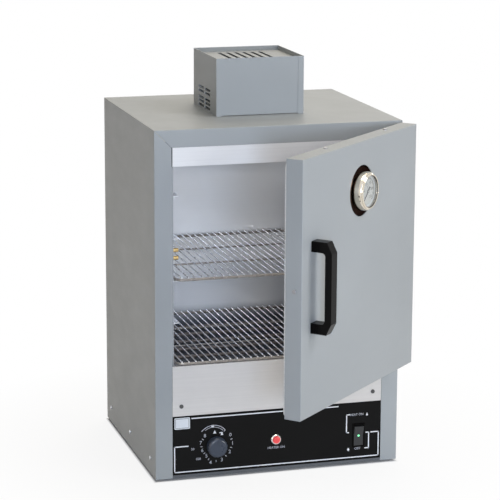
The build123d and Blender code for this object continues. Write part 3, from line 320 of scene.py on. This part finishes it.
MATERIALS = {
    "cabinet_grey": enamel("cabinet_paint", srgb(163, 167, 168), 0.40, gloss=0.14),
    "fascia_grey": sheet_metal(
        "fascia_sheet", (0.80, 0.80, 0.80), 0.34, 0.25, BRUSHED, 0.08, mottle=0.05),
    "panel_black": enamel(
        "panel_overlay", srgb(13, 13, 13), 0.34, 0.10, 1100, 0.10, gloss=0.10),
    "aluminised_sheet": sheet_metal(
        "aluminised", (0.93, 0.95, 1.0), 0.26, 0.6, ROLLED, 0.04, mottle=0.03),
    # The cup's dark bronze is partly its own tone and partly painted shade of the recess.
    "cup_metal": sheet_metal("cup_metal", (0.24, 0.18, 0.16), 0.12, 1.0, EVEN, 0.03),
    "zinc_sheet": sheet_metal(
        "zinc_plate", (0.36, 0.36, 0.37), 0.34, 0.8, (4, 220, 220), 0.10, 0.5),
    "shelf_wire": sheet_metal("plated_wire", (0.97, 0.97, 0.97), 0.24, 0.5, (260, 6, 260), 0.10),
    "element_sheath": sheet_metal(
        "element_sheath", (0.26, 0.23, 0.22), 0.42, 0.85, (200, 200, 200), 0.25),
    "ceramic_bush": fibre("ceramic_bush", (0.82, 0.78, 0.70), 700, 0.15),
    "brass_bits": sheet_metal("brass", (0.78, 0.58, 0.27), 0.26, 1.0, (120, 120, 120), 0.15),
    "copper_tube": sheet_metal("copper", (0.76, 0.44, 0.30), 0.30, 1.0, (120, 120, 120), 0.12),
    "mineral_wool": fibre("mineral_wool", (0.66, 0.58, 0.38), 260, 0.9),
    "gasket_cloth": fibre("gasket_cloth", (0.80, 0.79, 0.76), 500, 0.8, 420),
    "black_plastic": plastic("black_plastic", srgb(5, 4, 4), 0.18, 0.05, gloss=0.08),
    "knob_plastic": plastic("knob_plastic", srgb(48, 57, 72), 0.32, 0.10, 1600),
    "housing_plastic": plastic("housing_plastic", srgb(34, 34, 35), 0.42),
    "lamp_red": lamp("lamp_red", srgb(224, 62, 66), (1.0, 0.14, 0.14), 0.30),
    "lamp_green": lamp("lamp_green", srgb(120, 215, 160), (0.25, 1.0, 0.45), 0.9),
    "plated_steel": sheet_metal("nickel_plate", (0.80, 0.79, 0.77), 0.16, 1.0, EVEN, 0.04),
    "motor_iron": enamel("motor_paint", srgb(52, 54, 58), 0.42, 0.3, 700, 0.1),
    "foot_rubber": plastic("foot_rubber", srgb(26, 26, 27), 0.70, 0.35, 900),
    "magnet_grey": sheet_metal("magnet_iron", (0.20, 0.20, 0.21), 0.5, 0.8, (90, 90, 90), 0.3),
    "dial_white": enamel("dial_face", srgb(200, 200, 196), 0.42, 0.05, 900, 0.02),
    "dial_glass": clear_glass("dial_glass"),
    "pointer_black": enamel("pointer_paint", srgb(26, 20, 20), 0.40, 0.05, 900, 0.05),
}
PRINT_WHITE = enamel("printed_white", srgb(232, 234, 238), 0.45, 0.05, 1500, 0.02)
PRINT_GREY = enamel("printed_grey", srgb(188, 190, 198), 0.45, 0.05, 1500, 0.02)
PRINT_BLACK = enamel("printed_black", srgb(26, 27, 30), 0.50, 0.05, 1500, 0.02)
PLATE_PALE = enamel("plate_pale", srgb(222, 226, 230), 0.35, 0.08, 900, 0.02)
CASE_NICKEL = sheet_metal("case_nickel", (0.72, 0.66, 0.56), 0.10, 1.0, EVEN, 0.03)

# Nodes given another look than the rest of their slot. Those of the liner, base pan, lower fascia and shelves hold
# painted shade, as noted at each.
NODE_LOOKS = {
    "chamber_liner": liner_sheet(
        "liner_sheet", (0.98, 0.99, 1.0), 0.35, 0.20,
        cab(0, LINER_FLANGE, 0).y, cab(0, 0, LINER_SHADE_BELOW).z, cab(0, 0, LINER_TOP).z),
    "thermometer_case": CASE_NICKEL,
    # The base pan's lip is painted darker than the cabinet's grey, as the shade under the cabinet.
    "base_pan": enamel("base_pan_shade", srgb(96, 99, 102), 0.45, gloss=0.2),
    "door_inner_pan": sheet_metal(
        "door_lining", (0.64, 0.65, 0.67), 0.36, 0.4, ROLLED, 0.04, mottle=0.03),
    # The lower fascia is a darker, warmer copy of the fascia sheet: painted shade.
    "lower_fascia": sheet_metal(
        "fascia_sheet_shade", (0.65, 0.63, 0.61), 0.34, 0.25, BRUSHED, 0.08, mottle=0.05),
    "cabinet_screws": screw_metal("screw_plating", cab(0, FRONT_SCREWS, 0).y),
    "switch_rocker": plastic("rocker_plastic", srgb(46, 47, 48), 0.36, gloss=0.4),
    "lower_shelf": shelf_metal("lower_wires", cab(0, 0, WIRE_LEVELS["lower_shelf"]).z),
    "upper_shelf": shelf_metal("upper_wires", cab(0, 0, WIRE_LEVELS["upper_shelf"]).z),
}

slot_of = {part["node"]: part["material_slot"] for part in frame["record"]["subparts"]}
for name, node in frame["nodes"].items():
    node.data.materials.clear()
    node.data.materials.append(NODE_LOOKS.get(name, MATERIALS[slot_of[name]]))


# ---------------------------------------------------------------- mesh kit
def piece(name, mesh_maker, material, body, matrix=None):
    """Makes an object from what mesh_maker adds to a bmesh, and rides it on a body."""
    bm = bmesh.new()
    mesh_maker(bm)
    if matrix is not None:
        bm.transform(matrix)
    mesh = bpy.data.meshes.new(name)
    bm.to_mesh(mesh)
    bm.free()
    obj = bpy.data.objects.new(name, mesh)
    scene.collection.objects.link(obj)
    mesh.materials.append(material)
    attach(obj, body)
    return obj


def slab(bm, x0, x1, y0, y1, z0, z1):
    """A closed box between two corners."""
    spots = [bm.verts.new(cab(x, y, z)) for x in (x0, x1) for y in (y0, y1) for z in (z0, z1)]
    sides = (0, 1, 3, 2), (4, 6, 7, 5), (0, 4, 5, 1), (2, 3, 7, 6), (0, 2, 6, 4), (1, 5, 7, 3)
    for four in sides:
        bm.faces.new([spots[i] for i in four])


def plate(bm, outline, y, thick):
    """A flat print or plate on a front face, with its (x, z) outline anticlockwise as seen."""
    front = [bm.verts.new(cab(x, y - thick, z)) for x, z in outline]
    back = [bm.verts.new(cab(x, y, z)) for x, z in outline]
    bm.faces.new(front)
    bm.faces.new(list(reversed(back)))
    for i in range(len(outline)):
        k = (i + 1) % len(outline)
        bm.faces.new((front[k], front[i], back[i], back[k]))


def around(cx, cz, radius, degrees):
    """A point on a circle as seen from the front: 0 degrees is at the top, clockwise."""
    a = math.radians(degrees)
    return cx + radius * math.sin(a), cz + radius * math.cos(a)


def arc_band(bm, cx, cz, r0, r1, start, stop, y, thick, steps=None):
    """A flat band between two radii, in steps of about 5 degrees."""
    steps = steps or max(2, int(abs(stop - start) / 5))
    turns = [start + (stop - start) * i / steps for i in range(steps + 1)]
    for a, b in zip(turns, turns[1:]):
        corners = (r0, a), (r0, b), (r1, b), (r1, a)
        plate(bm, [around(cx, cz, radius, angle) for radius, angle in corners], y, thick)


def rounded(x0, x1, z0, z1, radius, steps=5):
    """The outline of a rectangle with rounded corners, anticlockwise as seen from the front."""
    left, right, low, high = x0 + radius, x1 - radius, z0 + radius, z1 - radius
    spots = []
    for cx, cz, end in ((right, low, 90), (right, high, 0), (left, high, -90), (left, low, -180)):
        for i in range(steps + 1):
            spots.append(around(cx, cz, radius, end + 90 - 90 * i / steps))
    return spots


SIZE_PER_CAPITAL = 1.38  # the typeface's size for capitals one unit high


def lettering(bm, text, x, z, height, y, thick):
    """Generic numerals or words in Blender's own face, centred at x and z on a front face."""
    curve = bpy.data.curves.new("lettering", "FONT")
    curve.body, curve.align_x, curve.align_y = text, "CENTER", "CENTER"
    curve.size = height * SIZE_PER_CAPITAL / 1000
    curve.extrude, curve.resolution_u = thick / 2000, 2
    holder = bpy.data.objects.new("lettering", curve)
    scene.collection.objects.link(holder)
    solved = holder.evaluated_get(bpy.context.evaluated_depsgraph_get())
    mesh = bpy.data.meshes.new_from_object(solved)
    upright = Matrix.Rotation(math.radians(90), 4, "X")
    mesh.transform(Matrix.Translation(cab(x, y - thick / 2, z)) @ upright)
    bm.from_mesh(mesh)
    bpy.data.objects.remove(holder)
    bpy.data.curves.remove(curve)
    bpy.data.meshes.remove(mesh)


# ---------------------------------------------------------------- control panel graphics
LINE = 1.9    # width of the panel's lines
PRINT = 0.08  # thickness of the ink
# Middle of each line, as x from and to, z from and to.
PANEL_LINES = (
    (64.7, 330.0, 105.5, 105.5),
    (33.6, 57.5, 56.0, 56.0), (33.6, 33.6, 10.0, 56.0), (33.6, 406.0, 10.0, 10.0),
    (406.0, 406.0, 10.0, 54.0), (392.0, 406.0, 54.0, 54.0),
    (346.3, 346.3, 56.0, 88.8), (346.3, 352.0, 88.8, 88.8), (346.3, 350.0, 56.0, 56.0),
    (387.8, 387.8, 25.0, 54.2), (383.0, 387.8, 54.2, 54.2), (381.0, 387.8, 25.4, 25.4),
)
PANEL_TRIANGLE = (381.9, 85.2), (386.3, 85.2), (384.1, 91.0)
PANEL_DIAMOND = (350.1, 21.6), (352.5, 24.8), (350.1, 28.0), (347.7, 24.8)
# Words and numbers: text, middle and height of its capitals.
PANEL_WORDS = (
    ("HEAT ON", 365.0, 88.2, 4.2), ("OFF", 367.0, 25.4, 4.6), ("HEATER ON", 216.8, 40.3, 4.2))
OUTER_NUMBERS = ("50", 65.9, 49.7, 4.6), ("100", 75.6, 31.3, 4.6)
BAND_X, BAND_Z = 103.0, 62.7        # middle of the dial's bands
# Radii, angles and steps of the dial's bands and of the bar that ends them.
BANDS = (26.8, 27.9, -50, 52, None), (23.6, 24.4, -38, 45, None), (24.0, 27.8, 50, 52.5, 1)
# Middles of the dial's numerals 0 to 8, with a short tick between each two.
NUMERALS = (
    (133.5, 70.2), (137.4, 54.9), (132.3, 39.8), (118.2, 26.3), (97.7, 22.9),
    (90.6, 35.6), (83.0, 46.1), (80.2, 59.8), (87.8, 72.2),
)
NUMERAL_HEIGHT = 6.6
TICKS_MIDDLE = Vector((107.0, 50.0))
TICK_HALF = 1.8                     # half a tick's length
TICK_SLIM = 0.3                     # a tick's width as a share of its length
# The bright marks over the knob, as x from and to, z from and to, or as outlines.
INDEX_BLOCK = (99.2, 104.2, 86.0, 90.8)
INDEX_TRIANGLE = (102.3, 75.0), (108.5, 75.0), (105.4, 81.0)
SYMBOL_BAR = (113.8, 119.6, 75.0, 76.6)
SYMBOL_FOOT = (116.0, 71.2), (120.6, 71.2), (119.4, 75.0), (116.8, 75.0)
PLATE_EDGES = (33.5, 61.0, 87.6, 108.0)
PLATE_ROUND, PLATE_THICK = 1.6, 0.35
# The border of the bare plate: how far in front of the panel, and its four bars.
BORDER_BACK, BORDER_FRONT = 0.30, 0.42
BORDER_BARS = (
    (35.2, 59.3, 89.2, 89.8), (35.2, 59.3, 105.8, 106.4),
    (35.2, 35.8, 89.8, 105.8), (58.7, 59.3, 89.8, 105.8),
)


def ink_bar(bm, x0, x1, z0, z1, grow=0.0):
    """A rectangle of ink on the panel, grown on all sides."""
    slab(bm, x0 - grow, x1 + grow, PANEL_Y - PRINT, PANEL_Y, z0 - grow, z1 + grow)


def panel_lines(bm):
    for line in PANEL_LINES:
        ink_bar(bm, *line, grow=LINE / 2)
    plate(bm, PANEL_TRIANGLE, PANEL_Y, PRINT)
    plate(bm, PANEL_DIAMOND, PANEL_Y, PRINT)


def dial_print(bm):
    """The dial's bands and numerals and the panel's words, in a duller ink than its lines."""
    for text, x, z, height in PANEL_WORDS:
        lettering(bm, text, x, z, height, PANEL_Y, PRINT)
    for r0, r1, start, stop, steps in BANDS:
        arc_band(bm, BAND_X, BAND_Z, r0, r1, start, stop, PANEL_Y, PRINT, steps)
    for number, (x, z) in enumerate(NUMERALS):
        lettering(bm, str(number), x, z, NUMERAL_HEIGHT, PANEL_Y, PRINT)
    ends = (-1, -TICK_SLIM), (-1, TICK_SLIM), (1, TICK_SLIM), (1, -TICK_SLIM)
    for (x0, z0), (x1, z1) in zip(NUMERALS, NUMERALS[1:]):
        x, z = (x0 + x1) / 2, (z0 + z1) / 2
        lean = (Vector((x, z)) - TICKS_MIDDLE).normalized() * TICK_HALF
        outline = [(x + a * lean.x + b * lean.y, z + a * lean.y - b * lean.x) for a, b in ends]
        plate(bm, outline, PANEL_Y, PRINT)
    for text, x, z, height in OUTER_NUMBERS:
        lettering(bm, text, x, z, height, PANEL_Y, PRINT)


def dial_index(bm):
    """The bright marks over the knob: the block on the bands, the index and a small symbol."""
    ink_bar(bm, *INDEX_BLOCK)
    plate(bm, INDEX_TRIANGLE, PANEL_Y, PRINT)
    ink_bar(bm, *SYMBOL_BAR)
    plate(bm, SYMBOL_FOOT, PANEL_Y, PRINT)


def bare_plate(bm):
    plate(bm, rounded(*PLATE_EDGES, PLATE_ROUND), PANEL_Y, PLATE_THICK)


def bare_plate_border(bm):
    for x0, x1, z0, z1 in BORDER_BARS:
        slab(bm, x0, x1, PANEL_Y - BORDER_FRONT, PANEL_Y - BORDER_BACK, z0, z1)


piece("panel_lines", panel_lines, PRINT_WHITE, "cabinet")
piece("dial_index", dial_index, PRINT_WHITE, "cabinet")
piece("dial_print", dial_print, PRINT_GREY, "cabinet")
piece("bare_plate", bare_plate, PLATE_PALE, "cabinet")
piece("bare_plate_border", bare_plate_border, PRINT_BLACK, "cabinet")

# ---------------------------------------------------------------- thermometer dial
DIAL_OUT, BORDER_OUT = 10.0, 9.97   # the dial's print and its border, in front of the door's face
DIAL_INK, BORDER_INK = 0.06, 0.05
SCALE_START, SCALE_SWEEP = -135, 270
SCALE_PARTS, PARTS_PER_LONG = 50, 5
SCALE_RIM = 21.6                    # outer end of the scale's lines
SHORT_LINE, LONG_LINE = (19.6, 0.6), (18.2, 1.3)  # inner end, and half the width in degrees
RIM_ARC = (SCALE_RIM, 22.2, -136, 136)
DIAL_NUMBERS, NUMBER_RADIUS, NUMBER_STEP, NUMBER_HEIGHT = 6, 14.2, 50, 4.8
UNIT_LEFT, UNIT_UP, UNIT_HEIGHT = 1, 6.5, 5.0
BORDER_RADII = (22.6, 25.6)
# Closed outlines of turned rings: radius, and distance in front of the door's face.
DARK_GLASS_RING = (25.3, 15.27), (25.5, 15.6), (26.9, 15.6), (27.1, 15.27)
SLEEVE_RING = (
    (29.65, 15.0), (30.5, 14.4), (31.4, 12.4), (32.1, 9.0), (32.8, 2.0), (33.2, -8.0),
    (29.65, -8.0),
)


def thermometer_print(bm):
    """Scale lines, their arc and the numbers on the dial."""
    y = DOOR_FACE - DIAL_OUT
    for i in range(SCALE_PARTS + 1):
        angle = SCALE_START + SCALE_SWEEP * i / SCALE_PARTS
        inner, wide = SHORT_LINE if i % PARTS_PER_LONG else LONG_LINE
        arc_band(
            bm, THERMO_X, THERMO_Z, inner, SCALE_RIM, angle - wide, angle + wide, y, DIAL_INK, 1)
    arc_band(bm, THERMO_X, THERMO_Z, *RIM_ARC, y, DIAL_INK, 54)
    for i in range(DIAL_NUMBERS):
        angle = SCALE_START + SCALE_SWEEP * i / (DIAL_NUMBERS - 1)
        x, z = around(THERMO_X, THERMO_Z, NUMBER_RADIUS, angle)
        lettering(bm, str(NUMBER_STEP * i), x, z, NUMBER_HEIGHT, y, DIAL_INK)
    lettering(bm, "°C", THERMO_X - UNIT_LEFT, THERMO_Z + UNIT_UP, UNIT_HEIGHT, y, DIAL_INK)


def lathe(bm, profile, steps=96):
    """A closed ring turned about the thermometer's axis."""
    rings = []
    for k in range(steps):
        spots = [around(THERMO_X, THERMO_Z, radius, 360 * k / steps) for radius, _ in profile]
        rings.append([
            bm.verts.new(cab(x, DOOR_FACE - out, z)) for (x, z), (_, out) in zip(spots, profile)
        ])
    for a, b in zip(rings, rings[1:] + rings[:1]):
        for i in range(len(profile)):
            k = (i + 1) % len(profile)
            bm.faces.new((a[i], a[k], b[k], b[i]))
    bmesh.ops.recalc_face_normals(bm, faces=bm.faces)


# A thin black ring at the edge of the dial's glass.
def glass_seal(bm):
    lathe(bm, DARK_GLASS_RING)


def drum_sleeve(bm):
    lathe(bm, SLEEVE_RING)


def dial_border(bm):
    y = DOOR_FACE - BORDER_OUT
    arc_band(bm, THERMO_X, THERMO_Z, *BORDER_RADII, 0, 360, y, BORDER_INK, 72)


piece("dial_border", dial_border, PLATE_PALE, "door", DOOR)
piece("glass_seal", glass_seal, PRINT_BLACK, "door", DOOR)
sleeve = piece("drum_sleeve", drum_sleeve, CASE_NICKEL, "door", DOOR)
for face in sleeve.data.polygons:
    face.use_smooth = True
piece("thermometer_print", thermometer_print, PRINT_BLACK, "door", DOOR)

# ---------------------------------------------------------------- floor and backdrop
FLOOR_HALF = 6
WHITE_NEAR, WHITE_FAR = 0.26, 0.60  # from the origin, in metres, the floor turns to white
WHITE_START = 0.88                  # its share of white nearer than that
AMBIENT = 0.01


def combine(tree, how, first, second, clamp=False):
    """A math node on two sockets, or on a socket and a number."""
    node = tree.nodes.new("ShaderNodeMath")
    node.operation, node.use_clamp = how, clamp
    for value, socket in zip((first, second), node.inputs):
        if isinstance(value, bpy.types.NodeSocket):
            tree.links.new(value, socket)
        else:
            socket.default_value = value
    return node.outputs[0]


def light_path_white(tree, lit, amount):
    """Camera, glossy and transmission rays see white in place of the lit surface, by amount."""
    path = tree.nodes.new("ShaderNodeLightPath")
    seen = path.outputs["Is Camera Ray"]
    for name in ("Is Glossy Ray", "Is Transmission Ray"):
        seen = combine(tree, "ADD", seen, path.outputs[name], clamp=True)
    white = tree.nodes.new("ShaderNodeEmission")
    white.inputs["Color"].default_value = (1, 1, 1, 1)
    mix = tree.nodes.new("ShaderNodeMixShader")
    tree.links.new(combine(tree, "MULTIPLY", seen, amount), mix.inputs[0])
    tree.links.new(lit, mix.inputs[1])
    tree.links.new(white.outputs[0], mix.inputs[2])
    return mix.outputs[0]


def floor_material():
    """A pale floor that the camera sees turn to white, but not under the cabinet."""
    n = Nodes("pale_floor")
    n.link(n.blend(n.noise(3.0), (0.86, 0.86, 0.86, 1), (0.9, 0.9, 0.9, 1)), "Base Color")
    n.set("Roughness", 0.9)
    reach = n.add("ShaderNodeVectorMath", Vector=n.place)
    reach.operation = "LENGTH"
    whiteness = n.ramp(reach.outputs["Value"], WHITE_START, 1.0, WHITE_NEAR, WHITE_FAR)
    spread = n.add("ShaderNodeVectorMath", Vector=n.place)
    spread.operation = "ABSOLUTE"
    spread = n.add("ShaderNodeSeparateXYZ", Vector=spread.outputs["Vector"]).outputs
    beyond = [
        n.ramp(spread[axis], 0.0, 1.0, half - 0.001, half + 0.004)
        for axis, half in (("X", -corner.x), ("Y", -corner.y))
    ]
    clear = combine(n.tree, "MAXIMUM", *beyond)
    amount = combine(n.tree, "MULTIPLY", whiteness, clear)
    seen = light_path_white(n.tree, n.shader.outputs[0], amount)
    n.tree.links.new(seen, n.tree.nodes["Material Output"].inputs["Surface"])
    return n.material


floor_mesh = bpy.data.meshes.new("floor")
spots = [(FLOOR_HALF * x, FLOOR_HALF * y, 0) for x, y in ((-1, -1), (1, -1), (1, 1), (-1, 1))]
floor_mesh.from_pydata(spots, [], [(0, 1, 2, 3)])
floor_mesh.materials.append(floor_material())
floor = bpy.data.objects.new("floor", floor_mesh)
scene.collection.objects.link(floor)

world = bpy.data.worlds.new("studio")
scene.world = world
world.use_nodes = True
tree = world.node_tree
ambient = tree.nodes["Background"]
ambient.inputs["Color"].default_value = (0.97, 0.985, 1.0, 1)
ambient.inputs["Strength"].default_value = AMBIENT
backdrop = light_path_white(tree, ambient.outputs[0], 1.0)
tree.links.new(backdrop, tree.nodes["World Output"].inputs["Surface"])

# ---------------------------------------------------------------- light
AIM = Vector((0.0, 0.0, 0.33))
# Name, place, diameter in metres, power in watts and colour of each round lamp.
LAMPS = (
    ("key_front", (-1.005, -3.749, 1.298), 0.35, 27, (1, 1, 1)),
    ("key_low", (-0.6, -3.8, 0.75), 0.6, 42, (0.62, 0.76, 1.0)),
    ("front_soft", (-0.541, -3.07, 2.13), 2.0, 5, (0.3, 0.5, 1.0)),
    ("right_front", (2.352, -2.352, 1.037), 1.4, 28, (1.0, 0.99, 0.94)),
    ("right_high", (1.842, -1.545, 2.734), 1.4, 28, (0.93, 0.92, 1.0)),
    ("overhead", (0.1, -0.2, 3.0), 1.8, 24, (1.0, 0.94, 0.80)),
    ("over_rear", (0.5, 1.6, 2.6), 1.6, 26, (1.0, 0.87, 0.70)),
    ("left_side", (-3.139, -0.275, 0.886), 1.4, 8.5, (1.0, 0.78, 0.54)),
    ("rear_fill", (2.4, 2.4, 1.2), 1.8, 16, (1, 1, 1)),
)
for name, place, size, power, colour in LAMPS:
    data = bpy.data.lights.new(name, "AREA")
    data.shape, data.size, data.energy, data.color = "DISK", size, power, colour
    holder = bpy.data.objects.new(name, data)
    holder.location = place
    holder.rotation_euler = (AIM - Vector(place)).to_track_quat("-Z", "Y").to_euler()
    scene.collection.objects.link(holder)
